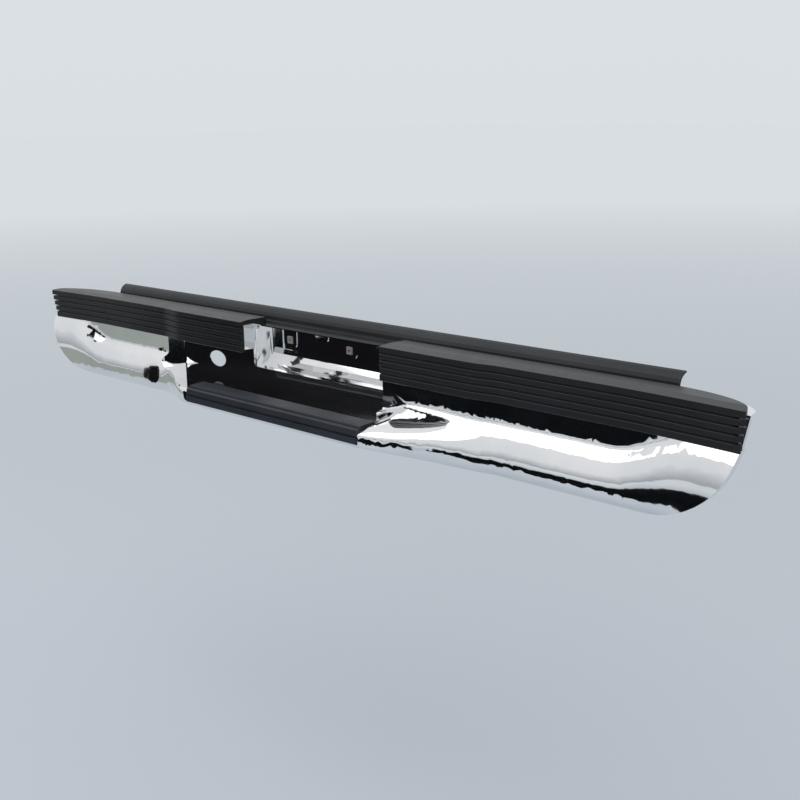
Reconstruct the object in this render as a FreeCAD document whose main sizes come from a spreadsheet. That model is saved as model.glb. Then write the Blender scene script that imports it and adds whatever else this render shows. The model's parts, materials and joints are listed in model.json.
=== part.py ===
import FreeCAD, Part
import math
import os
import Sketcher

# Truck step bumper: a stamped chromed face bar with ribbed pads, a recessed step and a licence plate pocket.
# Frame: X runs along the bumper, +Y points to the truck, +Z is up.
# Drawn from the middle of the bumper, in the plane of the upper pads' front, 6 mm below the pads' top.
# The parts are written with their origin midway between the licence plate's two nuts, on the tabs' front.

Vec = FreeCAD.Vector
doc = FreeCAD.newDocument("step_bumper")

# Driving dimensions, in millimetres
SIZES = {
    # Face bar
    "half_length": 970, "depth": 86, "sheet": 2, "face_drop": 183, "nose_drop": 158,
    "wing_setback": 8, "bend_start": 430, "bend_end": 500, "pad_proud": 4,
    "flare_start": 730, "flare_out": 14,
    "crease_drop": 90, "crease_ease": 0.3, "bulge_out": 26, "bulge_fade": 720, "bulge_end": 880, "end_crease": 44,
    "end_bulge": 24, "belly_drop": 166, "under_curl": 14, "rim_depth": 10,
    "end_curve_x": 200, "end_curve_top": 50, "rear_corner_x": 170, "rear_corner_y": 76,
    "end_lean": 12, "plan_lean": 3, "nose_curl": 60, "nose_curl_run": 34, "nose_straight": 8, "shoulder_run": 80,
    "nose_half": 259, "nose_out": 104, "cheek_end": 475, "step_drop": 127, "shoulder_drop": 106,
    "shoulder_low": 140,
    # Recess with the access hole, and the licence plate pocket
    "recess_left": 503, "recess_corner": 456, "recess_depth": 40, "pocket_half": 212, "recess_sweep": 45,
    "pocket_back": 76, "pocket_top_front": 34, "ledge_drop": 94, "recess_round": 14,
    "access_x": 338, "access_drop": 93, "access_wide": 56, "access_tall": 34,
    "plate_hole_pitch": 178, "plate_hole": 9.5, "plate_hole_drop": 24, "tab_wide": 40, "tab_drop": 38,
    # Upper pads
    "pad_height": 60, "pad_wall": 9, "pad_top": 4, "pad_inner": 208, "pad_rear_gap": 20,
    "pad_corner": 10, "pad_slope": 22, "pad_rise": 6, "top_band": 10, "rib_depth": 3.5, "rib_gap": 3,
    "rib_round": 1.6, "end_step": 3.8, "fit": 0.3,
    "stud": 5, "stud_long": 9, "stud_hole": 6, "clip_wide": 12, "clip_thick": 1.2, "pad_stud_inset": 14,
    # Step pad
    "step_pad_back": 60, "step_pad_rise": 10, "step_pad_low": 152, "step_pad_wall": 8,
    "step_pad_proud": 2, "step_pad_tilt": 3, "step_groove": 3, "step_stud_y": 68,
    # Air deflector
    "deflector_half": 796, "deflector_wall": 2.5, "deflector_rise": 17.5, "deflector_lean": 22,
    "rivet_inset": 10, "rivet_head": 9,
    # Rear frame
    "channel_half": 575, "channel_top": 30, "channel_low": 90, "channel_flange": 40,
    "channel_wall": 3, "bracket_x": 400, "bracket_wall": 6, "bracket_reach": 215,
    "bracket_foot": 62, "slot_long": 34, "slot_wide": 14, "slot_inset": 32,
    "slot_pitch": 46, "bolt": 12, "nut_flat": 18, "nut_high": 10, "washer": 24,
    "washer_thick": 2.5, "bolt_pitch": 26, "brace_wall": 4, "brace_high": 26,
    "brace_inner": 505, "brace_inner_end": 565, "brace_outer": 640, "brace_outer_end": 720,
    "brace_drop": 77, "small_bolt": 10, "small_nut_flat": 16, "small_nut_high": 8,
    "stud_plate_wall": 3, "stud_plate_high": 28,
    # Step reinforcement
    "step_plate_half": 205, "step_plate_wall": 5, "step_plate_front": 55,
    "gusset_x": 150, "gusset_wall": 4, "gusset_wide": 36, "gusset_foot": 26,
    # Licence plate fittings
    "plate_screw": 5,
}
sheet = doc.addObject("Spreadsheet::Sheet", "sizes")
for row, (alias, number) in enumerate(SIZES.items(), start=1):
    sheet.set(f"A{row}", alias)
    sheet.set(f"B{row}", str(number))
    sheet.setAlias(f"B{row}", alias)
doc.recompute()


class Sizes:
    """Reads the driving dimensions back from the sheet."""

    def __getattr__(self, alias):
        return float(sheet.get(alias))


size = Sizes()
BIG = 3000.0

# Places along X, as expressions or as shares of a half length
PAD_STUDS = ["sizes.pad_inner + 30", "sizes.bend_start", "sizes.bend_end + 160", "sizes.half_length - 110"]
STEP_STUDS = [-0.78, -0.27, 0.27, 0.78]
DEFLECTOR_RIVETS = [-0.92, -0.61, -0.31, 0.31, 0.61, 0.92]
STUD_X = ["sizes.brace_outer + 20", "sizes.brace_outer_end - 20"]
BRACE_BOLT_X = "(sizes.brace_inner + sizes.brace_inner_end) / 2"
BRACE_Z = "-sizes.brace_drop"
CHANNEL_Z = "-(sizes.channel_top + sizes.channel_low) / 2"
CHANNEL_BACK = "(sizes.pocket_back + sizes.sheet + sizes.channel_flange)"
face_top = -size.pad_top
face_line = size.pad_proud
rear_shelf = size.depth - size.pad_rear_gap


def smooth(share):
    share = max(0.0, min(1.0, share))
    return share * share * (3 - 2 * share)


def setback(x):
    """How far the pads and the face lie behind the middle section."""
    bend = (abs(x) - size.bend_start) / (size.bend_end - size.bend_start)
    flare = max(0.0, (abs(x) - size.flare_start) / (size.half_length - size.flare_start))
    return size.wing_setback * smooth(bend) - size.flare_out * flare ** 1.5


def wing_profile(x, drop):
    """Distance of the wing's face behind Y = 0, at a drop below the origin."""
    far = smooth((abs(x) - size.bulge_fade) / (size.bulge_end - size.bulge_fade))
    crease = size.crease_drop + (size.end_crease - size.crease_drop) * far
    out = size.bulge_out + (size.end_bulge - size.bulge_out) * far
    share = max(0.0, min(1.0, (drop - crease) / (size.belly_drop - crease)))
    under = max(0.0, (drop - size.belly_drop) / (size.face_drop - size.belly_drop))
    swell = out * share * (2 - share) * smooth(share / size.crease_ease)
    return face_line + setback(x) - swell + size.under_curl * under ** 2


def nose_profile(x, drop):
    """Distance of the step nose behind Y = 0, at a drop below the origin."""
    beside = 1 - smooth((abs(x) - size.pocket_half) / size.shoulder_run)
    start = size.crease_drop - 4 + (size.shoulder_drop - size.crease_drop + 4) * beside
    slope = smooth(smooth((drop - start) / (size.shoulder_low - start)))
    under = max(0.0, (drop - size.nose_drop + size.nose_straight) / size.nose_curl_run)
    return face_line - (size.nose_out + face_line) * slope + size.nose_curl * under ** 2


def skin(x, drop):
    """Distance of the face bar's outer surface behind Y = 0."""
    nose = 1 - smooth((abs(x) - size.nose_half) / (size.cheek_end - size.nose_half))
    return (1 - nose) * wing_profile(x, drop) + nose * nose_profile(x, drop)


def skin_inside(x, drop):
    """The same surface, moved inward by the sheet's thickness along its normal."""
    step = 0.5
    along = (skin(x + step, drop) - skin(x - step, drop)) / (2 * step)
    down = (skin(x, drop + step) - skin(x, drop - step)) / (2 * step)
    return skin(x, drop) + size.sheet * math.sqrt(1 + along ** 2 + down ** 2)


def height_field(surface_at):
    """Solid behind a surface given as Y over X and drop."""
    columns, rows = 81, 57
    reach = size.half_length + 40
    low = size.face_drop + 14
    grid = []
    for i in range(columns):
        x = -reach + 2 * reach * i / (columns - 1)
        grid.append([])
        for j in range(rows):
            drop = low * j / (rows - 1)
            grid[-1].append(Vec(x, surface_at(x, drop), -drop))
    surface = Part.BSplineSurface()
    surface.interpolate(grid)
    return surface.toShape().extrude(Vec(0, 400, 0))


def spline(points):
    curve = Part.BSplineCurve()
    curve.interpolate(points)
    return curve.toShape()


def lines(points):
    return [Part.makeLine(a, b) for a, b in zip(points, points[1:])]


def front_outline(inset=0.0):
    """The front of the face bar seen from the front, pulled in by an inset all round."""
    half = size.half_length - inset
    top = face_top - inset
    corner_z = -size.end_curve_top
    bottom = -size.face_drop + inset
    nose_bottom = -size.nose_drop + inset
    wing_end = half - size.end_curve_x
    rise_in, rise_out = size.nose_half + 15, size.cheek_end + 10
    edges = []
    for side in (1, -1):
        corner = [Vec(side * (wing_end + (size.end_curve_x - size.end_lean) * math.sin(a)), 0,
                      corner_z - (-bottom + corner_z) * math.cos(a))
                  for a in (math.radians(15 * k) for k in range(7))]
        rise = [Vec(side * (rise_in + (rise_out - rise_in) * k / 6), 0,
                    nose_bottom + (bottom - nose_bottom) * smooth(k / 6)) for k in range(7)]
        edges += [spline(rise), Part.makeLine(rise[-1], corner[0]), spline(corner),
                  Part.makeLine(corner[-1], Vec(side * half, 0, top))]
    edges.append(Part.makeLine(Vec(-half, 0, top), Vec(half, 0, top)))
    edges.append(Part.makeLine(Vec(-rise_in, 0, nose_bottom), Vec(rise_in, 0, nose_bottom)))
    wire = Part.Wire(Part.__sortEdges__(edges))
    return Part.Face(wire).extrude(Vec(0, 2 * BIG, 0)).translated(Vec(0, -BIG, 0))


def plan_outline(inset=0.0):
    """The top of the face bar seen from above, its rear edge pulled in by an inset."""
    half = size.half_length + 20
    rear = size.depth - inset
    start = size.half_length - size.rear_corner_x - inset
    reach = size.half_length - size.plan_lean - start
    corner = [Vec(start + reach * math.sin(a), rear - size.rear_corner_y * (1 - math.cos(a)), 0)
              for a in (math.radians(15 * k) for k in range(7))]
    right = [spline(corner), Part.makeLine(corner[-1], Vec(half, corner[-1].y - 14, 0)),
             Part.makeLine(Vec(half, corner[-1].y - 14, 0), Vec(half, -BIG, 0))]
    left = [edge.mirror(Vec(0, 0, 0), Vec(1, 0, 0)) for edge in right]
    across = Part.makeLine(Vec(-start, rear, 0), Vec(start, rear, 0))
    front = Part.makeLine(Vec(-half, -BIG, 0), Vec(half, -BIG, 0))
    wire = Part.Wire(Part.__sortEdges__(right + left + [across, front]))
    return Part.Face(wire).extrude(Vec(0, 0, 2 * BIG)).translated(Vec(0, 0, -BIG))


def prism(points, grow, direction, start, rounds=0.0):
    """Prism of a polygon grown outward, from a start point along a direction."""
    wire = Part.makePolygon(points + [points[0]])
    face = Part.Face(wire)
    if rounds:
        face = face.makeOffset2D(-rounds)
        face = face.makeOffset2D(2 * rounds)
        face = face.makeOffset2D(-rounds)
    if grow:
        face = face.makeOffset2D(grow)
    return face.translated(start).extrude(direction)


def strip_wire(side, inner, outer, shift, back, level, corner=0.0):
    """Plan outline between the pads' front line, moved back by a shift, and a straight back."""
    bend = [size.bend_start + (size.bend_end - size.bend_start) * k / 6 for k in range(7)]
    flare = [size.flare_start + (outer - corner - size.flare_start) * k / 5 for k in range(6)]
    near = [Vec(side * x, setback(x) + shift, level) for x in bend]
    far = [Vec(side * x, setback(x) + shift, level) for x in flare]
    end = far[-1]
    edges = [Part.makeLine(Vec(side * inner, shift, level), near[0]), spline(near),
             Part.makeLine(near[-1], far[0]), spline(far)]
    turn = Vec(side * outer, end.y + corner, level)
    if corner:
        bulge = corner * (1 - math.sqrt(0.5))
        edges.append(Part.Arc(end, Vec(side * (outer - bulge), end.y + bulge, level), turn).toShape())
    edges += lines([turn, Vec(side * outer, back, level), Vec(side * inner, back, level),
                    Vec(side * inner, shift, level)])
    return Part.Wire(Part.__sortEdges__(edges))


def strip(side, inner, outer, shift, back, bottom, top, corner=0.0):
    """Block between the pads' front line and a straight back, in a range of heights."""
    wire = strip_wire(side, inner, outer, shift, back, bottom, corner)
    return Part.Face(wire).extrude(Vec(0, 0, top - bottom))


def pad_seat(side, grow):
    """Room for the front wall of an upper pad, in front of the face bar."""
    inner = size.pad_inner - size.fit - grow
    shift = size.pad_wall + size.fit + grow
    return strip(side, inner, size.half_length + 60, shift, -400, -size.pad_height - size.fit - grow, 40)


def recess_plan(grow):
    corner_y = size.recess_depth
    points = [Vec(-size.recess_corner, corner_y - 8, 0), Vec(-size.recess_left, face_line, 0),
              Vec(-size.recess_left - 12, -60, 0), Vec(-size.recess_left - 12, -300, 0),
              Vec(size.nose_half + 8, -300, 0), Vec(size.nose_half + 8, -size.step_pad_back + 6, 0),
              Vec(size.pocket_half, -14, 0),
              Vec(size.pocket_half, corner_y, 0)]
    return prism(points, grow, Vec(0, 0, 2 * BIG), Vec(0, 0, -BIG), size.recess_round)


def recess_tool(grow):
    """Room of the step recess: the shelf below, the panel with the access hole behind."""
    shelf, roof = -size.step_drop, -size.pad_height + 4
    profile = [Vec(0, -300, shelf), Vec(0, size.recess_depth + 60, shelf),
               Vec(0, size.recess_depth + 60, roof), Vec(0, -300, roof)]
    room = prism(profile, grow, Vec(2 * BIG, 0, 0), Vec(-BIG, 0, 0))
    far = -size.recess_left - 12
    sweep = size.recess_sweep
    arc = [Vec(far + sweep * (1 - math.cos(a)), 0, shelf + sweep * (1 - math.sin(a)))
           for a in (math.radians(15 * k) for k in range(7))]
    outline = arc + [Vec(size.nose_half + 60, 0, shelf), Vec(size.nose_half + 60, 0, roof), Vec(far, 0, roof)]
    side_room = prism(outline, grow, Vec(0, 2 * BIG, 0), Vec(0, -BIG, 0))
    return room.common(recess_plan(grow)).common(side_room)


def pocket_tool(grow):
    """Room of the licence plate pocket, open at the top in front of the rear flange."""
    inner = size.pocket_half
    plan = [Vec(-inner, -300, 0), Vec(inner, -300, 0), Vec(inner, size.recess_depth, 0),
            Vec(inner - 14, size.pocket_back, 0), Vec(-inner + 14, size.pocket_back, 0),
            Vec(-inner, size.recess_depth, 0)]
    walls = prism(plan, grow, Vec(0, 0, 2 * BIG), Vec(0, 0, -BIG), 10)
    ledge = -size.ledge_drop
    back = size.pocket_back
    radius = back - size.recess_depth + 2
    arc = [Vec(0, back - radius * (1 - math.cos(a)), ledge + radius * (1 - math.sin(a)))
           for a in (math.radians(18 * k) for k in range(6))]
    profile = [Vec(0, -300, ledge), Vec(0, -300, 60), Vec(0, size.pocket_top_front, 60),
               Vec(0, size.pocket_top_front, face_top - size.sheet + grow), Vec(0, back, face_top - size.sheet + grow)]
    profile += arc
    room = prism(profile, grow, Vec(2 * BIG, 0, 0), Vec(-BIG, 0, 0))
    return room.common(walls)


def step_seat(grow):
    """Room for the front wall of the step pad."""
    half = size.nose_half + size.fit + grow
    front = -size.nose_out + size.step_pad_wall + grow
    low = -size.step_pad_low - size.fit - grow
    return Part.makeBox(2 * half, 300 + front, 60, Vec(-half, -300, low))


def room_tools(grow):
    tools = [pad_seat(1, grow), pad_seat(-1, grow), recess_tool(grow), pocket_tool(grow), step_seat(grow)]
    return tools


def pad_stud_points(side):
    y = rear_shelf - size.pad_stud_inset
    return [Vec(side * evaluate(x), y, 0) for x in PAD_STUDS]


def step_stud_points():
    return [Vec(x * size.nose_half, -size.step_stud_y, 0) for x in STEP_STUDS]


def rivet_points():
    return [Vec(x * size.deflector_half, size.depth - size.rivet_inset, 0) for x in DEFLECTOR_RIVETS]


def plate_tabs():
    """Two tabs turned down from the rear flange, which carry the licence plate."""
    tabs = []
    for side in (1, -1):
        start = Vec(side * size.plate_hole_pitch / 2 - size.tab_wide / 2, size.pocket_top_front, -size.tab_drop)
        tab = Part.makeBox(size.tab_wide, size.sheet, size.tab_drop - size.pad_top, start)
        corners = [e for e in tab.Edges if abs(e.Length - size.sheet) < 0.01
                   and abs(e.Vertexes[0].Z + size.tab_drop) < 0.01]
        tabs.append(tab.makeFillet(size.tab_wide / 5, corners))
    return tabs


def face_bar_shape():
    outer = height_field(skin).common(front_outline()).common(plan_outline())
    inner_field = height_field(skin_inside)
    inner = inner_field.common(front_outline(size.sheet))
    behind = inner_field.translated(Vec(0, size.rim_depth, 0))
    roof = Part.makeBox(2 * BIG, 2 * BIG, BIG, Vec(-BIG, -BIG, -BIG + face_top - size.sheet))
    behind = behind.common(roof)
    wide = [tool for tool in room_tools(size.sheet)]
    core = inner.fuse(behind)
    core = core.cut(wide)
    shell = outer.cut(room_tools(0.0)).cut(core).fuse(plate_tabs())
    holes = []
    deck = face_top - 3 * size.sheet
    for point in pad_stud_points(-1) + pad_stud_points(1) + rivet_points():
        holes.append(Part.makeCylinder(size.stud_hole / 2, 4 * size.sheet, Vec(point.x, point.y, deck)))
    for point in step_stud_points():
        holes.append(Part.makeCylinder(size.stud_hole / 2, 4 * size.sheet,
                                       Vec(point.x, point.y, -size.step_drop - 3 * size.sheet)))
    for side in (1, -1):
        corner = Vec(side * size.plate_hole_pitch / 2 - size.plate_hole / 2, size.pocket_top_front - 5,
                     -size.plate_hole_drop - size.plate_hole / 2)
        holes.append(Part.makeBox(size.plate_hole, 12, size.plate_hole, corner))
    access = Part.makeCylinder(0.5, 80, Vec(0, 0, 0), Vec(0, 1, 0))
    stretch = FreeCAD.Matrix()
    stretch.scale(size.access_wide, 1.0, size.access_tall)
    access = access.transformGeometry(stretch).translated(Vec(-size.access_x, 0, -size.access_drop))
    holes.append(access)
    return shell.cut(holes)


def upper_pad_shape(side):
    """Ribbed pad with a sloped top band, a front wall, a top wall and studs under the top wall."""
    ribs = 4
    pitch = (size.pad_height - size.top_band) / ribs
    corner = size.pad_corner
    low = -size.top_band + size.rib_gap
    outer = size.half_length
    shoulder = size.pad_rise - size.rib_gap
    parts = [strip(side, size.pad_inner, outer, 0.0, rear_shelf, low, shoulder, corner),
             Part.makeLoft([strip_wire(side, size.pad_inner, outer, 0.0, rear_shelf, shoulder, corner),
                            strip_wire(side, size.pad_inner, outer, size.pad_slope, rear_shelf, size.pad_rise,
                                       corner)], True, True)]
    for index in range(ribs):
        outer = size.half_length - (index + 1) * size.end_step
        top = -size.top_band - index * pitch
        low = top - pitch + (size.rib_gap if index < ribs - 1 else 0.0)
        band = strip(side, size.pad_inner, outer, 0.0, rear_shelf, low, top, corner)
        parts.append(rounded_band(band, side, size.rib_round))
    core_end = size.half_length - ribs * size.end_step - size.rib_depth
    parts.append(strip(side, size.pad_inner, core_end, size.rib_depth, rear_shelf, -size.pad_height + 2,
                       -size.top_band + size.rib_gap + 1, corner))
    block = parts[0].fuse(parts[1:])
    inside = strip(side, size.pad_inner - 5, size.half_length + 60, size.pad_wall, 300, -size.pad_height - 5,
                   face_top)
    block = block.cut(inside).common(plan_outline(size.pad_rear_gap))
    studs = []
    for point in pad_stud_points(side):
        studs.append(Part.makeCylinder(size.stud / 2, size.stud_long + 1, Vec(point.x, point.y,
                                                                             face_top - size.stud_long)))
    return block.fuse(studs)


def rounded_band(band, side, radius):
    """Rounds the long front edges of one rib."""
    edges = []
    for edge in band.Edges:
        heights = [v.Z for v in edge.Vertexes]
        middle = edge.valueAt((edge.FirstParameter + edge.LastParameter) / 2)
        level = max(heights) - min(heights) < 0.01
        rear = middle.y > rear_shelf - 2
        inner = abs(middle.x - side * size.pad_inner) < 0.5
        end = abs(edge.Vertexes[0].X - edge.Vertexes[-1].X) < 0.01
        if level and not rear and not inner and not end:
            edges.append(edge)
    return band.makeFillet(radius, edges)


def set_shape(label, shape):
    """Free-form sub-part, its shape worked out from the sheet's values."""
    item = doc.addObject("Part::Feature", label)
    item.Label = label
    item.Shape = shape
    return item


def body_of(label, points, role, length, place=("0", "0", "0"), holes=(), slots=()):
    """Body made of a padded polygon; points and lengths are expressions on the sheet."""
    body = doc.addObject("PartDesign::Body", label)
    body.Label = label
    outline = fixed_sketch(body, label + "_outline", role)
    closed_outline(outline, points, 0)
    pad = body.newObject("PartDesign::Pad", label + "_pad")
    pad.Profile = outline
    pad.SideType = "Symmetric"
    pad.setExpression("Length", length)
    body.Tip = pad
    doc.recompute()
    for index, (hole_role, circles) in enumerate(holes):
        ring = fixed_sketch(body, f"{label}_holes_{index}", hole_role)
        for number, (x, y, width) in enumerate(circles):
            ring.addGeometry(Part.Circle(Vec(evaluate(x), evaluate(y), 0), Vec(0, 0, 1), evaluate(width) / 2), False)
            bind(ring, "DistanceX", number, 3, x)
            bind(ring, "DistanceY", number, 3, y)
            at = ring.addConstraint(Sketcher.Constraint("Diameter", number, evaluate(width)))
            ring.setExpression(f"Constraints[{at}]", width)
        pocket_through(body, ring)
    for index, (slot_role, bars) in enumerate(slots):
        frame = fixed_sketch(body, f"{label}_slots_{index}", slot_role)
        for number, (x0, y0, x1, y1) in enumerate(bars):
            closed_outline(frame, [(x0, y0), (x1, y0), (x1, y1), (x0, y1)], 4 * number)
        pocket_through(body, frame)
    for axis, expression in zip("xyz", place):
        body.setExpression(f"Placement.Base.{axis}", expression)
    doc.recompute()
    return body


def closed_outline(sketch, points, first):
    """Closed run of lines whose corners are bound to expressions."""
    count = len(points)
    values = [(evaluate(x), evaluate(y)) for x, y in points]
    for i, value in enumerate(values):
        following = values[(i + 1) % count]
        sketch.addGeometry(Part.LineSegment(Vec(*value, 0), Vec(*following, 0)), False)
    for i in range(count):
        sketch.addConstraint(Sketcher.Constraint("Coincident", first + i, 2, first + (i + 1) % count, 1))
    for i, (x, y) in enumerate(points):
        bind(sketch, "DistanceX", first + i, 1, x)
        bind(sketch, "DistanceY", first + i, 1, y)


def pocket_through(body, sketch):
    before = body.Shape.Volume
    pocket = body.newObject("PartDesign::Pocket", sketch.Name + "_pocket")
    pocket.Profile = sketch
    pocket.Type = "ThroughAll"
    pocket.SideType = "Symmetric"
    body.Tip = pocket
    doc.recompute()
    if body.Shape.Volume >= before:
        raise RuntimeError(f"{sketch.Name} cut nothing")


def fixed_sketch(body, name, role):
    sketch = body.newObject("Sketcher::SketchObject", name)
    plane = [f for f in body.Origin.OriginFeatures if f.Role == role][0]
    sketch.AttachmentSupport = [(plane, "")]
    sketch.MapMode = "FlatFace"
    return sketch


def evaluate(expression):
    return float(sheet.evalExpression(expression))


def bind(sketch, kind, item, point, expression):
    at = sketch.addConstraint(Sketcher.Constraint(kind, -1, 1, item, point, evaluate(expression)))
    sketch.setExpression(f"Constraints[{at}]", expression)


def group_of(label, items):
    """Identical fasteners in one node, as separate solids."""
    joined = doc.addObject("Part::Compound", label)
    joined.Label = label
    joined.Links = items
    return joined


def rod(name, radius, height, place, direction="z"):
    item = doc.addObject("Part::Cylinder", name)
    item.setExpression("Radius", radius)
    item.setExpression("Height", height)
    aim(item, place, direction)
    return item


def hexagon(name, flats, height, place, direction="z"):
    item = doc.addObject("Part::Prism", name)
    item.Polygon = 6
    item.setExpression("Circumradius", f"({flats}) / sqrt(3)")
    item.setExpression("Height", height)
    aim(item, place, direction)
    return item


def aim(item, place, direction):
    turn = {"z": FreeCAD.Rotation(), "y": FreeCAD.Rotation(Vec(1, 0, 0), -90),
            "x": FreeCAD.Rotation(Vec(0, 1, 0), 90)}[direction]
    item.Placement = FreeCAD.Placement(Vec(0, 0, 0), turn)
    for axis, expression in zip("xyz", place):
        item.setExpression(f"Placement.Base.{axis}", expression)


def cut(name, base, tool):
    item = doc.addObject("Part::Cut", name)
    item.Base = base
    item.Tool = tool
    return item


def fuse(name, shapes):
    item = doc.addObject("Part::MultiFuse", name)
    item.Shapes = shapes
    return item


def sided(side, expression):
    """Mirrors an expression for X to the side asked for."""
    return f"{side} * ({expression})"


def two_sides():
    return (("left", -1), ("right", 1))


def step_pad():
    """Ribbed tread over the step nose: a top wall, two long grooves and a smooth front wall."""
    top = "-sizes.step_drop + sizes.step_pad_rise"
    front = "-sizes.nose_out - sizes.step_pad_proud"
    inside = "-sizes.nose_out + sizes.step_pad_wall - sizes.fit"
    low = "-sizes.step_pad_low"
    tilt = "sizes.step_pad_tilt"
    groove = "sizes.step_groove"
    lobe = f"-sizes.step_drop - 3 * {groove}"
    points = [
        ("-sizes.step_pad_back", "-sizes.step_drop"),
        ("-sizes.step_pad_back", f"{top} - {groove} / 2"),
        (f"-sizes.step_pad_back - {groove} / 2", top),
        (f"{inside} + 3 * {groove}", f"{top} - {tilt} * 0.6"),
        (f"{inside} + {groove} / 2", f"{top} - {tilt}"),
        (f"{inside}", f"{top} - {tilt} - {groove}"),
        (f"{inside} - {groove}", f"{top} - {tilt} - {groove}"),
        (f"{inside} - 1.2 * {groove}", f"{top} - 1.3 * {tilt}"),
        (f"{front} + 2 * {groove}", f"{top} - 2 * {tilt}"),
        (f"{front} + 0.8 * {groove}", f"{top} - 3 * {tilt}"),
        (f"{front} + 0.4 * {groove}", f"{lobe}"),
        (f"{front} + 1.4 * {groove}", f"{lobe} - 0.3 * {groove}"),
        (f"{front} + 1.4 * {groove}", f"{lobe} - 1.1 * {groove}"),
        (f"{front}", f"{lobe} - 1.5 * {groove}"),
        (f"{front}", f"{low} + {groove} / 2"),
        (f"{front} + {groove} / 2", low),
        (inside, low),
        (inside, "-sizes.step_drop"),
    ]
    tread = body_of("step_tread", points, "YZ_Plane", "2 * sizes.nose_half")
    studs = []
    for number, x in enumerate(STEP_STUDS):
        studs.append(rod(f"step_stud_{number}", "sizes.stud / 2", "sizes.stud_long + 1",
                         (f"{x} * sizes.nose_half", "-sizes.step_stud_y", "-sizes.step_drop - sizes.stud_long")))
    return fuse("step_pad", [tread] + studs)


def air_deflector():
    """Strip with a flat foot on the rear flange and a lip that curls back towards the truck."""
    steps = [math.radians(16 * k) for k in range(6)]
    foot = "-sizes.pad_top"
    deck = "-sizes.pad_top + sizes.deflector_wall"
    front = [(f"sizes.depth - sizes.deflector_wall + sizes.deflector_lean * {1 - math.cos(a):.4f}",
              f"{deck} + (sizes.deflector_rise - {deck}) * {math.sin(a):.4f}") for a in steps]
    back = [(f"sizes.depth + (sizes.deflector_lean - sizes.deflector_wall * 0.6) * {1 - math.cos(a):.4f}",
             f"{deck} + (sizes.deflector_rise - sizes.deflector_wall - {deck}) * {math.sin(a):.4f}")
            for a in reversed(steps)]
    points = [("sizes.depth - sizes.pad_rear_gap + sizes.fit", foot),
              ("sizes.depth - sizes.pad_rear_gap + sizes.fit", deck)]
    points += front + back + [("sizes.depth", foot)]
    circles = [(f"{x} * sizes.deflector_half", "sizes.depth - sizes.rivet_inset", "sizes.stud + sizes.fit")
               for x in DEFLECTOR_RIVETS]
    return body_of("air_deflector", points, "YZ_Plane", "2 * sizes.deflector_half",
                   holes=[("XY_Plane", circles)])


def deflector_rivets():
    rivets = []
    for number, x in enumerate(DEFLECTOR_RIVETS):
        across, along = f"{x} * sizes.deflector_half", "sizes.depth - sizes.rivet_inset"
        deck = "-sizes.pad_top + sizes.deflector_wall"
        head = rod(f"rivet_head_{number}", "sizes.rivet_head / 2", "sizes.clip_thick", (across, along, deck))
        shank = rod(f"rivet_shank_{number}", "sizes.stud / 2",
                    "sizes.deflector_wall + sizes.sheet", (across, along, "-sizes.pad_top - sizes.sheet"))
        bulb = rod(f"rivet_bulb_{number}", "sizes.rivet_head / 2 - 0.5", "2 * sizes.clip_thick",
                   (across, along, "-sizes.pad_top - sizes.sheet - 2 * sizes.clip_thick"))
        rivets.append(fuse(f"rivet_{number}", [head, shank, bulb]))
    return group_of("deflector_rivets", rivets)


def retainers(label, places, top):
    """Push nuts pressed on the studs from below."""
    rings = []
    for number, (x, y) in enumerate(places):
        disc = rod(f"{label}_disc_{number}", "sizes.clip_wide / 2", "sizes.clip_thick",
                   (x, y, f"{top} - sizes.clip_thick"))
        bore = rod(f"{label}_bore_{number}", "sizes.stud / 2 + sizes.fit / 2", "3 * sizes.clip_thick",
                   (x, y, f"{top} - 2 * sizes.clip_thick"))
        rings.append(cut(f"{label}_ring_{number}", disc, bore))
    return group_of(label, rings)


def rear_channel():
    """Channel across the back, against the rear of the licence plate pocket."""
    front = "sizes.pocket_back + sizes.sheet"
    back = f"{front} + sizes.channel_flange"
    inner = f"{front} + sizes.channel_wall"
    points = [
        (front, "-sizes.channel_low"), (front, "-sizes.channel_top"), (back, "-sizes.channel_top"),
        (back, "-sizes.channel_top - sizes.channel_wall"), (inner, "-sizes.channel_top - sizes.channel_wall"),
        (inner, "-sizes.channel_low + sizes.channel_wall"), (back, "-sizes.channel_low + sizes.channel_wall"),
        (back, "-sizes.channel_low"),
    ]
    circles = []
    for _, side in two_sides():
        for x, z in bracket_bolt_places(side):
            circles.append((x, z, "sizes.bolt + 1"))
        circles.append((sided(side, BRACE_BOLT_X), BRACE_Z, "sizes.small_bolt + 1"))
    return body_of("rear_channel", points, "YZ_Plane", "2 * sizes.channel_half", holes=[("XZ_Plane", circles)])


def bracket_bolt_places(side):
    x = sided(side, "sizes.bracket_x + sizes.bracket_foot * 0.58")
    return [(x, f"{CHANNEL_Z} + {up} * sizes.bolt_pitch / 2") for up in (-1, 1)]


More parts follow.
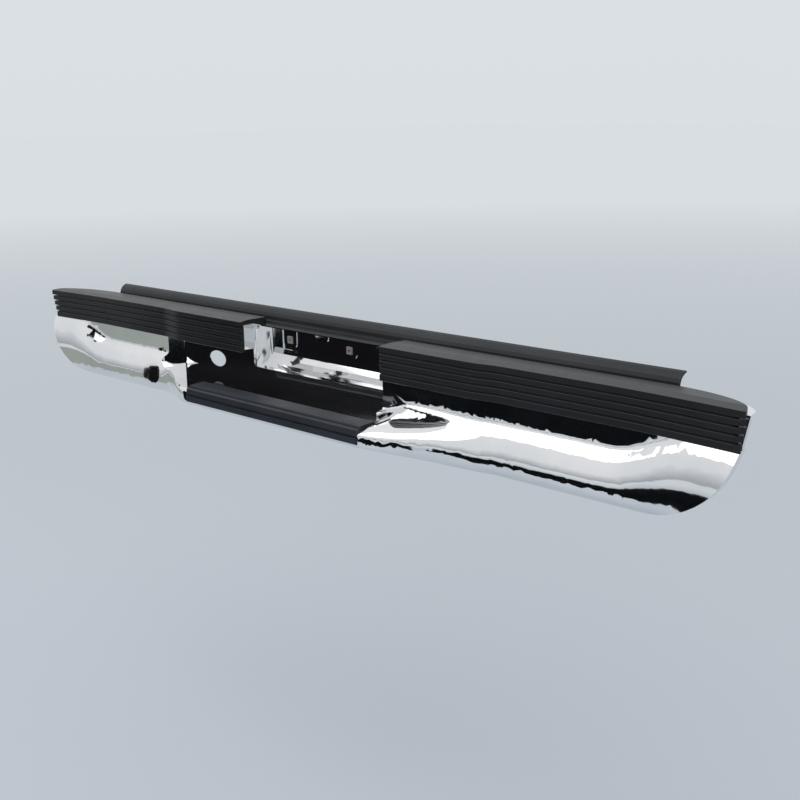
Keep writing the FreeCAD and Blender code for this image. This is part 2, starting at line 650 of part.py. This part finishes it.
def frame_bracket(name, side):
    """Angle bracket: its foot lies in the channel, its plate reaches back to the frame rail."""
    foot = "sizes.pocket_back + sizes.sheet + sizes.channel_wall"
    plate, outer = "sizes.bracket_x", "sizes.bracket_x + sizes.bracket_foot"
    points = [
        (sided(side, plate), foot), (sided(side, outer), foot), (sided(side, outer), f"{foot} + sizes.bracket_wall"),
        (sided(side, f"{plate} + sizes.bracket_wall"), f"{foot} + sizes.bracket_wall"),
        (sided(side, f"{plate} + sizes.bracket_wall"), "sizes.bracket_reach"),
        (sided(side, plate), "sizes.bracket_reach"),
    ]
    high = "sizes.channel_low - sizes.channel_top - 2 * sizes.channel_wall - 2 * sizes.fit"
    foot_holes = [(x, f"{z} - ({CHANNEL_Z})", "sizes.bolt + 1") for x, z in bracket_bolt_places(side)]
    ends, bars = [], []
    half = "(sizes.slot_long - sizes.slot_wide) / 2"
    for number in (0, 1):
        middle = f"sizes.bracket_reach - sizes.slot_inset - {number} * sizes.slot_pitch"
        ends += [(f"{middle} + {way} * {half}", "0", "sizes.slot_wide") for way in (-1, 1)]
        bars.append((f"{middle} - {half}", "-sizes.slot_wide / 2", f"{middle} + {half}", "sizes.slot_wide / 2"))
    return body_of(f"{name}_frame_bracket", points, "XY_Plane", high, place=("0", "0", CHANNEL_Z),
                   holes=[("XZ_Plane", foot_holes), ("YZ_Plane", ends)], slots=[("YZ_Plane", bars)])


def outer_brace(name, side):
    """Bent flat bar from the channel's end to the studs behind the wing."""
    web = "sizes.pocket_back + sizes.sheet"
    wing = "sizes.pad_proud + sizes.wing_setback + sizes.sheet + sizes.fit + sizes.stud_plate_wall"
    near, far = f"{web} - sizes.brace_wall", f"{wing} + sizes.brace_wall"
    chain = [
        ("sizes.brace_inner", near), ("sizes.brace_inner_end", near), ("sizes.brace_outer", wing),
        ("sizes.brace_outer_end", wing), ("sizes.brace_outer_end", far),
        ("sizes.brace_outer + sizes.brace_wall / 2", far), ("sizes.brace_inner_end + sizes.brace_wall / 2", web),
        ("sizes.brace_inner", web),
    ]
    points = [(sided(side, x), y) for x, y in chain]
    holes = [(sided(side, BRACE_BOLT_X), "0", "sizes.small_bolt + 1")]
    holes += [(sided(side, x), "0", "sizes.small_bolt + 1") for x in STUD_X]
    return body_of(f"{name}_outer_brace", points, "XY_Plane", "sizes.brace_high", place=("0", "0", BRACE_Z),
                   holes=[("XZ_Plane", holes)])


def stud_plate(name, side):
    """Plate with two weld studs, spot-welded behind the wing's upper panel."""
    plate = doc.addObject("Part::Box", f"{name}_stud_base")
    plate.setExpression("Length", "sizes.brace_outer_end - sizes.brace_outer")
    plate.setExpression("Width", "sizes.stud_plate_wall")
    plate.setExpression("Height", "sizes.stud_plate_high")
    left_edge = "sizes.brace_outer" if side > 0 else "-sizes.brace_outer_end"
    front = "sizes.pad_proud + sizes.wing_setback + sizes.sheet + sizes.fit"
    aim(plate, (left_edge, front, f"{BRACE_Z} - sizes.stud_plate_high / 2"), "z")
    studs = []
    for number, x in enumerate(STUD_X):
        studs.append(rod(f"{name}_weld_stud_{number}", "sizes.small_bolt / 2",
                         "sizes.stud_plate_wall + sizes.brace_wall + sizes.small_nut_high + 4",
                         (sided(side, x), front, BRACE_Z), "y"))
    return fuse(f"{name}_stud_plate", [plate] + studs)


def ring_nut(name, flats, bore, high, place):
    """Hexagon nut with a plain bore, its axis along Y."""
    blank = hexagon(f"{name}_blank", flats, high, place, "y")
    hole = rod(f"{name}_hole", f"({bore}) / 2 + sizes.fit / 3", f"3 * ({high})",
               (place[0], f"{place[1]} - ({high})", place[2]), "y")
    return cut(name, blank, hole)


def stud_nuts():
    wing = "sizes.pad_proud + sizes.wing_setback + sizes.sheet + sizes.fit + sizes.stud_plate_wall"
    nuts = []
    for name, side in two_sides():
        for number, x in enumerate(STUD_X):
            nuts.append(ring_nut(f"{name}_stud_nut_{number}", "sizes.small_nut_flat", "sizes.small_bolt",
                                 "sizes.small_nut_high",
                                 (sided(side, x), f"{wing} + sizes.brace_wall", BRACE_Z)))
    return group_of("brace_stud_nuts", nuts)


def hex_bolt(name, flats, width, head, shank, place):
    """Bolt along +Y; the place is the underside of its head."""
    top = hexagon(f"{name}_head", flats, head, (place[0], f"{place[1]} - ({head})", place[2]), "y")
    bar = rod(f"{name}_shank", f"({width}) / 2", shank, place, "y")
    return fuse(name, [top, bar])


def bracket_fasteners():
    """Bolts, washers and nuts between the channel and the two brackets."""
    bolts, washers, nuts = [], [], []
    web = "sizes.pocket_back + sizes.sheet"
    back = f"{web} + sizes.channel_wall + sizes.bracket_wall"
    for name, side in two_sides():
        for number, (x, z) in enumerate(bracket_bolt_places(side)):
            tag = f"{name}_bracket_{number}"
            bolts.append(hex_bolt(f"{tag}_bolt", "sizes.nut_flat", "sizes.bolt", "sizes.nut_high * 0.75",
                                  "sizes.channel_wall + sizes.bracket_wall + sizes.washer_thick + sizes.nut_high + 3",
                                  (x, web, z)))
            disc = rod(f"{tag}_disc", "sizes.washer / 2", "sizes.washer_thick", (x, back, z), "y")
            bore = rod(f"{tag}_bore", "sizes.bolt / 2 + sizes.fit", "3 * sizes.washer_thick",
                       (x, f"{back} - sizes.washer_thick", z), "y")
            washers.append(cut(f"{tag}_washer", disc, bore))
            nuts.append(ring_nut(f"{tag}_nut", "sizes.nut_flat", "sizes.bolt", "sizes.nut_high",
                                 (x, f"{back} + sizes.washer_thick", z)))
    return [group_of("bracket_bolts", bolts), group_of("bracket_washers", washers), group_of("bracket_nuts", nuts)]


def brace_fasteners():
    """Bolts and nuts between the channel's ends and the braces."""
    bolts, nuts = [], []
    web = "sizes.pocket_back + sizes.sheet"
    for name, side in two_sides():
        x = sided(side, BRACE_BOLT_X)
        bolts.append(hex_bolt(f"{name}_brace_bolt", "sizes.small_nut_flat", "sizes.small_bolt",
                              "sizes.small_nut_high * 0.8",
                              "sizes.brace_wall + sizes.channel_wall + sizes.small_nut_high + 3",
                              (x, f"{web} - sizes.brace_wall", BRACE_Z)))
        nuts.append(ring_nut(f"{name}_brace_nut", "sizes.small_nut_flat", "sizes.small_bolt",
                             "sizes.small_nut_high", (x, f"{web} + sizes.channel_wall", BRACE_Z)))
    return [group_of("brace_bolts", bolts), group_of("brace_nuts", nuts)]


def step_plate():
    """Stiffening plate welded under the step's shelf."""
    plate = doc.addObject("Part::Box", "step_plate")
    plate.Label = "step_plate"
    plate.setExpression("Length", "2 * sizes.step_plate_half")
    plate.setExpression("Width", f"sizes.step_plate_front + {CHANNEL_BACK}")
    plate.setExpression("Height", "sizes.step_plate_wall")
    aim(plate, ("-sizes.step_plate_half", "-sizes.step_plate_front",
                "-sizes.step_drop - sizes.sheet - sizes.step_plate_wall"), "z")
    return plate


def step_gusset(name, side):
    """Folded strut between the step plate and the channel above it."""
    low, high = "-sizes.step_drop - sizes.sheet", "-sizes.channel_low"
    wall = "sizes.gusset_wall"
    reach = "sizes.gusset_foot"
    chain = [
        ("0", low), (f"{wall} + {reach}", low), (f"{wall} + {reach}", f"{low} + {wall}"),
        (wall, f"{low} + {wall}"), (wall, high), (f"-{reach}", high), (f"-{reach}", f"{high} - {wall}"),
        ("0", f"{high} - {wall}"),
    ]
    points = [(sided(side, f"sizes.gusset_x + {x}"), z) for x, z in chain]
    return body_of(f"{name}_step_gusset", points, "XZ_Plane", "sizes.gusset_wide",
                   place=("0", f"{CHANNEL_BACK} - sizes.gusset_wide / 2", "0"))


def plate_nuts():
    """Push-in nuts for the licence plate's two screws."""
    nuts = []
    for name, side in two_sides():
        x = "sizes.plate_hole_pitch / 2"
        boxes = []
        for part, wide, deep, y in (("flange", "sizes.plate_hole * 1.5", "sizes.sheet * 0.8",
                                     "sizes.pocket_top_front - sizes.sheet * 0.8"),
                                    ("shank", "sizes.plate_hole - 2 * sizes.fit", "sizes.sheet * 4",
                                     "sizes.pocket_top_front")):
            block = doc.addObject("Part::Box", f"{name}_plate_nut_{part}")
            block.setExpression("Length", wide)
            block.setExpression("Width", deep)
            block.setExpression("Height", wide)
            aim(block, (f"{side} * {x} - ({wide}) / 2", y, f"-sizes.plate_hole_drop - ({wide}) / 2"), "z")
            boxes.append(block)
        bore = rod(f"{name}_plate_nut_bore", "sizes.plate_screw / 2", "sizes.sheet * 8",
                   (f"{side} * {x}", "sizes.pocket_top_front - sizes.sheet * 2", "-sizes.plate_hole_drop"), "y")
        nuts.append(cut(f"{name}_plate_nut", fuse(f"{name}_plate_nut_blank", boxes), bore))
    return group_of("licence_plate_nuts", nuts)


nodes = []

# Face bar and its pads
nodes.append(set_shape("face_bar", face_bar_shape()))
for name, side in two_sides():
    nodes.append(set_shape(f"{name}_top_pad", upper_pad_shape(side)))
nodes.append(step_pad())
for name, side in two_sides():
    places = [(sided(side, x), "sizes.depth - sizes.pad_rear_gap - sizes.pad_stud_inset") for x in PAD_STUDS]
    nodes.append(retainers(f"{name}_pad_retainers", places, "-sizes.pad_top - sizes.sheet"))
nodes.append(retainers("step_pad_retainers", [(f"{x} * sizes.nose_half", "-sizes.step_stud_y") for x in STEP_STUDS],
                       "-sizes.step_drop - sizes.sheet"))

# Air deflector
nodes.append(air_deflector())
nodes.append(deflector_rivets())

# Rear frame
nodes.append(rear_channel())
for name, side in two_sides():
    nodes += [frame_bracket(name, side), outer_brace(name, side), stud_plate(name, side)]
nodes += bracket_fasteners()
nodes += brace_fasteners()
nodes.append(stud_nuts())

# Step reinforcement
nodes.append(step_plate())
for name, side in two_sides():
    nodes.append(step_gusset(name, side))

# Licence plate fittings
nodes.append(plate_nuts())

doc.recompute()
failed = [item.Name for item in doc.Objects if "Invalid" in item.State or "Error" in item.State]
if failed:
    raise RuntimeError(f"failed objects: {failed}")
for node in nodes:
    if node.Shape.isNull() or not node.Shape.isValid():
        raise RuntimeError(f"{node.Label}: null or invalid shape")
datum = Vec(0, size.pocket_top_front, -size.plate_hole_drop)
os.makedirs("parts", exist_ok=True)
for node in nodes:
    node.Shape.translated(-datum).exportStep(f"parts/{node.Label}.step")
print(len(nodes), "nodes written")
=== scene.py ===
import json
import math
import bpy
from mathutils import Matrix, Vector

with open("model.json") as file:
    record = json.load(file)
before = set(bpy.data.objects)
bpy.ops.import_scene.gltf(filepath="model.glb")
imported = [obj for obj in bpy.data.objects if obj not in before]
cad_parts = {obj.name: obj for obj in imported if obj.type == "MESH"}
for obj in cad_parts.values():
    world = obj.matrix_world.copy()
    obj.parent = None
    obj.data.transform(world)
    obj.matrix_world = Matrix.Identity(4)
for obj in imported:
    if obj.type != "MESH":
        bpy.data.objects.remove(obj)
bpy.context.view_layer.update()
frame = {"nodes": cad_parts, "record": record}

# Lengths are in metres and angles in radians, in the CAD's frame
CAMERA_PLACE = (1.914119, -1.596944, 0.451740)
YAW, PITCH, ROLL = 0.8132705, 0.2229009, -0.0185511
LENS_MM, SENSOR_MM = 58.5, 36

FLOOR_Z = -0.92
FLOOR_REACH = 60
# Painted shade on the floor: its colour is darkest at the middle and lightens through these tones between these
# distances from it
FLOOR_FADE = (0.3, 16.0)
FLOOR_TONES = [(0.0, (0.43, 0.47, 0.52)), (0.3, (0.56, 0.61, 0.65)), (1.0, (0.80, 0.845, 0.87))]

# The world's colours, from straight down at 0 to straight up at 1
SKY_FOR_LIGHT = [(0.0, (0.35, 0.37, 0.40)), (0.5, (0.45, 0.47, 0.50)), (0.56, (0.85, 0.87, 0.90)),
                 (1.0, (1.0, 1.0, 1.0))]
SKY_FOR_CAMERA = [(0.49, (0.77, 0.82, 0.85)), (0.75, (0.84, 0.88, 0.905))]
SKY_STRENGTH = 0.9
MIX_A, MIX_B, MIX_RESULT = 6, 7, 2  # the colour sockets of a Mix node

# Colours of glowing cards that only reflections see: they are painted reflections, black bands and a grey band
# in the chrome, and painted shade in the recess
CARD_BLACK = (0.004, 0.005, 0.006)
RECESS_SHADE_BLACK = (0.006, 0.006, 0.007)
CARD_GREY = (0.34, 0.37, 0.35)
DARK_MEET = (-0.45, -1.62)
DARK_LOW, DARK_HIGH = -0.665, -0.31

PLASTIC_SPECULAR = 0.26
GLOSS_LOW, GLOSS_HIGH = 0.85, 1.15
LIGHT_TARGET = (0, 0, -0.1)


def place_camera():
    """Camera fitted to the photograph: turned by yaw, then pitch, then roll."""
    ahead = Vector((-math.sin(YAW) * math.cos(PITCH), math.cos(YAW) * math.cos(PITCH), -math.sin(PITCH)))
    level = Vector((math.cos(YAW), math.sin(YAW), 0))
    above = level.cross(ahead)
    right = level * math.cos(ROLL) + above * math.sin(ROLL)
    up = above * math.cos(ROLL) - level * math.sin(ROLL)
    camera = bpy.data.objects.new("camera", bpy.data.cameras.new("camera"))
    rows = [(right[i], up[i], -ahead[i], CAMERA_PLACE[i]) for i in range(3)]
    camera.matrix_world = Matrix((*rows, (0, 0, 0, 1)))
    camera.data.lens = LENS_MM
    camera.data.sensor_width = SENSOR_MM
    bpy.context.collection.objects.link(camera)
    bpy.context.scene.camera = camera


class Nodes:
    """Adds and joins the shader nodes of one tree."""

    def __init__(self, tree):
        self.tree = tree

    def add(self, kind, **inputs):
        node = self.tree.nodes.new(kind)
        for name, value in inputs.items():
            self.set(node, name.replace("_", " "), value)
        return node

    def set(self, node, name, value):
        socket = node.inputs[name]
        if isinstance(value, bpy.types.NodeSocket):
            self.tree.links.new(value, socket)
        else:
            socket.default_value = value

    def ramp(self, factor, stops):
        node = self.add("ShaderNodeValToRGB", Fac=factor)
        elements = node.color_ramp.elements
        while len(elements) < len(stops):
            elements.new(0.5)
        for element, (at, colour) in zip(elements, stops):
            element.position = at
            element.color = (*colour, 1)
        return node.outputs["Color"]


def principled(name, **values):
    """New material with its Principled shader and a helper for its tree."""
    material = bpy.data.materials.new(name)
    material.use_nodes = True
    shader = material.node_tree.nodes["Principled BSDF"]
    kit = Nodes(material.node_tree)
    for key, value in values.items():
        kit.set(shader, key.replace("_", " "), value)
    return material, shader, kit


def noise(kit, scale, detail):
    where = kit.add("ShaderNodeTexCoord").outputs["Object"]
    return kit.add("ShaderNodeTexNoise", Vector=where, Scale=scale, Detail=detail).outputs["Fac"]


def colour_drift(kit, shader, scale, detail, stops):
    kit.set(shader, "Base Color", kit.ramp(noise(kit, scale, detail), stops))


def uneven_gloss(kit, shader, scale, low, high):
    gloss = kit.add("ShaderNodeMapRange", Value=noise(kit, scale, 2), To_Min=low, To_Max=high)
    kit.set(shader, "Roughness", gloss.outputs["Result"])


def bump(kit, shader, height, strength, distance):
    node = kit.add("ShaderNodeBump", Height=height, Strength=strength, Distance=distance)
    kit.set(shader, "Normal", node.outputs["Normal"])


def chrome():
    material, shader, kit = principled("chrome", Metallic=1.0, Roughness=0.05)
    colour_drift(kit, shader, 9, 3.0, [(0.35, (0.80, 0.81, 0.82)), (0.65, (0.88, 0.88, 0.88))])
    bump(kit, shader, noise(kit, 5, 0.0), strength=0.03, distance=0.004)
    return material


def plastic(name, dark, light, roughness):
    """Moulded plastic: a fine grain, slight colour drift and uneven gloss."""
    material, shader, kit = principled(name)
    kit.set(shader, "Specular IOR Level", PLASTIC_SPECULAR)
    colour_drift(kit, shader, 6, 4, [(0.35, dark), (0.65, light)])
    uneven_gloss(kit, shader, 30, roughness * GLOSS_LOW, roughness * GLOSS_HIGH)
    bump(kit, shader, noise(kit, 900, 2), strength=0.25, distance=0.0003)
    return material


def painted(name, colour, roughness):
    """Paint with faint paler patches and a slight orange peel."""
    material, shader, kit = principled(name)
    paler = tuple(min(1.0, c * 1.5 + 0.005) for c in colour)
    colour_drift(kit, shader, 12, 5, [(0.4, colour), (0.7, paler)])
    kit.set(shader, "Roughness", roughness)
    bump(kit, shader, noise(kit, 260, 2), strength=0.2, distance=0.0004)
    return material


def plated():
    material, shader, kit = principled("plated_steel", Metallic=1.0)
    colour_drift(kit, shader, 40, 4, [(0.3, (0.50, 0.50, 0.47)), (0.7, (0.66, 0.66, 0.64))])
    uneven_gloss(kit, shader, 120, 0.28, 0.45)
    return material


def floor_paint():
    """Pale floor whose colour lightens with distance from the middle: painted shade, darker round the object
    and paler far off, standing in for the studio light's falloff.
    """
    material, shader, kit = principled("floor", Roughness=0.9)
    distance = kit.add("ShaderNodeVectorMath", Vector=kit.add("ShaderNodeTexCoord").outputs["Object"])
    distance.operation = "LENGTH"
    share = kit.add("ShaderNodeMapRange", Value=distance.outputs["Value"],
                    From_Min=FLOOR_FADE[0], From_Max=FLOOR_FADE[1])
    kit.set(shader, "Base Color", kit.ramp(share.outputs["Result"], FLOOR_TONES))
    return material


def stage_sheet(name, corners, material):
    """Flat sheet of the stage, which isn't part of the object."""
    mesh = bpy.data.meshes.new(name)
    mesh.from_pydata(corners, [], [(0, 1, 2, 3)])
    mesh.materials.append(material)
    obj = bpy.data.objects.new(name, mesh)
    bpy.context.collection.objects.link(obj)
    return obj


def card(name, colour, start, end, lows, high):
    """Upright glowing card that only reflections see, which paints a dark or grey reflection into the chrome;
    lows are its lower edge's heights at start and end.
    """
    material = bpy.data.materials.new(name)
    material.use_nodes = True
    kit = Nodes(material.node_tree)
    glow = kit.add("ShaderNodeEmission", Color=(*colour, 1), Strength=1.0)
    kit.set(material.node_tree.nodes["Material Output"], "Surface", glow.outputs["Emission"])
    corners = [(*start, lows[0]), (*end, lows[1]), (*end, high), (*start, high)]
    obj = stage_sheet(name, corners, material)
    obj.visible_camera = False
    obj.visible_diffuse = False
    obj.visible_shadow = False


def light_world():
    """A pale studio for the camera, and a bright ceiling over a grey horizon for all other rays."""
    world = bpy.data.worlds.new("studio")
    world.use_nodes = True
    bpy.context.scene.world = world
    kit = Nodes(world.node_tree)
    direction = kit.add("ShaderNodeTexCoord").outputs["Generated"]
    height = kit.add("ShaderNodeSeparateXYZ", Vector=direction).outputs["Z"]
    share = kit.add("ShaderNodeMapRange", Value=height, From_Min=-1.0, From_Max=1.0).outputs["Result"]
    mix = kit.add("ShaderNodeMix")
    mix.data_type = "RGBA"
    kit.set(mix, "Factor", kit.add("ShaderNodeLightPath").outputs["Is Camera Ray"])
    background = world.node_tree.nodes["Background"]
    world.node_tree.links.new(kit.ramp(share, SKY_FOR_LIGHT), mix.inputs[MIX_A])
    world.node_tree.links.new(kit.ramp(share, SKY_FOR_CAMERA), mix.inputs[MIX_B])
    world.node_tree.links.new(mix.outputs[MIX_RESULT], background.inputs["Color"])
    background.inputs["Strength"].default_value = SKY_STRENGTH


def soft_light(name, place, size, power):
    data = bpy.data.lights.new(name, "AREA")
    data.shape = "RECTANGLE"
    data.size, data.size_y = size
    data.energy = power
    obj = bpy.data.objects.new(name, data)
    obj.location = place
    obj.rotation_euler = (Vector(LIGHT_TARGET) - Vector(place)).to_track_quat("-Z", "Y").to_euler()
    bpy.context.collection.objects.link(obj)


place_camera()
bpy.context.scene.view_settings.view_transform = "Standard"

looks = {
    "chrome_steel": chrome(),
    "pad_plastic": plastic("pad_plastic", (0.006, 0.007, 0.008), (0.010, 0.011, 0.013), 0.34),
    "tread_plastic": plastic("tread_plastic", (0.014, 0.017, 0.023), (0.022, 0.026, 0.034), 0.42),
    "deflector_plastic": plastic("deflector_plastic", (0.009, 0.010, 0.012), (0.015, 0.017, 0.020), 0.40),
    "frame_paint": painted("frame_paint", (0.020, 0.020, 0.021), 0.45),
    "plated_steel": plated(),
    "rivet_metal": painted("rivet_metal", (0.03, 0.03, 0.032), 0.4),
    "nut_plastic": plastic("nut_plastic", (0.16, 0.14, 0.13), (0.24, 0.21, 0.20), 0.5),
}
for part in frame["record"]["subparts"]:
    mesh = frame["nodes"][part["node"]].data
    mesh.materials.clear()
    mesh.materials.append(looks[part["material_slot"]])

stage_sheet("floor", [(-FLOOR_REACH, -FLOOR_REACH, FLOOR_Z), (FLOOR_REACH, -FLOOR_REACH, FLOOR_Z),
                      (FLOOR_REACH, FLOOR_REACH, FLOOR_Z), (-FLOOR_REACH, FLOOR_REACH, FLOOR_Z)], floor_paint())
# Painted reflections: cards seen only in reflections, two black ones for the dark bands in the chrome, one for
# painted shade in the recess and a grey one for the grey band on the left wing
card("dark_card_left", CARD_BLACK, (-1.25, -1.25), DARK_MEET, (-0.46, DARK_LOW), DARK_HIGH)
card("dark_card_right", CARD_BLACK, DARK_MEET, (0.9, -2.25), (DARK_LOW, DARK_LOW), DARK_HIGH)
# This card paints shade into the recess through its reflection in the chrome
card("recess_shade_card", RECESS_SHADE_BLACK, (-1.25, -0.50), (-0.70, -0.90), (-0.50, -0.50), 0.24)
card("grey_card", CARD_GREY, (-2.3, 0.55), (-1.9, -0.95), (-0.40, -0.40), -0.16)

light_world()
soft_light("key", (-0.6, -1.6, 2.4), (4.2, 3.0), 45)
soft_light("fill", (2.2, 0.8, 1.8), (2.4, 2.0), 14)
